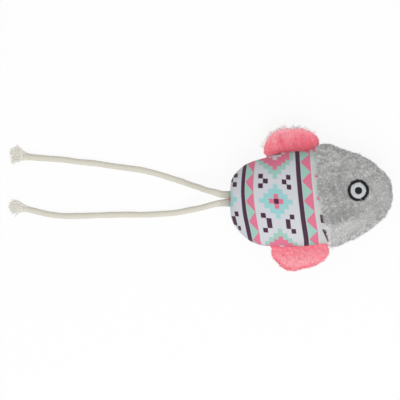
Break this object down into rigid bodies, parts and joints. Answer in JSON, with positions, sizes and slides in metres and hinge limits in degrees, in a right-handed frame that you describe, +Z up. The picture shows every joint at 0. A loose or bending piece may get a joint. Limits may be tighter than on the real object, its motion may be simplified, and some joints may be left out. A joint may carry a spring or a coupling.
{
  "type": "catnip toy",
  "caption": "Stuffed cat toy lying on its flank: grey plush head, printed cloth body, pink plush ears that fold at the seam and a tail of two frayed cotton cords.",
  "frame": {"origin": "on the floor, below the middle of the toy's bounding box without its cords", "axes": "+X from the tail seam to the nose, +Y along the flank from the lower ear to the upper ear, +Z up through the visible flank"},
  "size_m": [0.2312, 0.086, 0.0332],
  "materials": {
    "grey_plush": "matte",
    "printed_cloth": "matte",
    "pink_plush": "matte",
    "dark_thread": "satin",
    "white_thread": "satin",
    "cotton_cord": "matte",
    "fibre": "matte",
    "sachet": "matte"
  },
  "bodies": {
    "toy": {"head_cover_upper": "grey_plush", "head_cover_lower": "grey_plush", "body_cover_upper": "printed_cloth", "body_cover_lower": "printed_cloth", "ear_upper_sewn_edge": "pink_plush", "ear_lower_sewn_edge": "pink_plush", "eye_upper_outline": "dark_thread", "eye_upper_white": "white_thread", "eye_upper_pupil": "dark_thread", "eye_lower_outline": "dark_thread", "eye_lower_white": "white_thread", "eye_lower_pupil": "dark_thread", "head_filling": "fibre", "body_filling": "fibre", "catnip_pouch": "sachet", "tail_cord_fold": "cotton_cord", "tail_cord_upper": "cotton_cord", "tail_fray_upper": "cotton_cord", "tail_cord_lower": "cotton_cord", "tail_fray_lower": "cotton_cord"},
    "upper_ear": {"ear_upper_top_layer": "pink_plush", "ear_upper_under_layer": "pink_plush"},
    "lower_ear": {"ear_lower_top_layer": "pink_plush", "ear_lower_under_layer": "pink_plush"}
  },
  "joints": [
    {"name": "ear_upper_fold", "type": "hinge", "parent": "toy", "child": "upper_ear", "pos_m": [-0.01263, 0.02825, 0.0163], "axis": [0.9836, 0.1804, 0], "range_deg": [-55, 55], "stiffness_Nm_per_rad": 0.002},
    {"name": "ear_lower_fold", "type": "hinge", "parent": "toy", "child": "lower_ear", "pos_m": [-0.00737, -0.03027, 0.0163], "axis": [-0.9997, -0.0263, 0], "range_deg": [-55, 55], "stiffness_Nm_per_rad": 0.002}
  ]
}
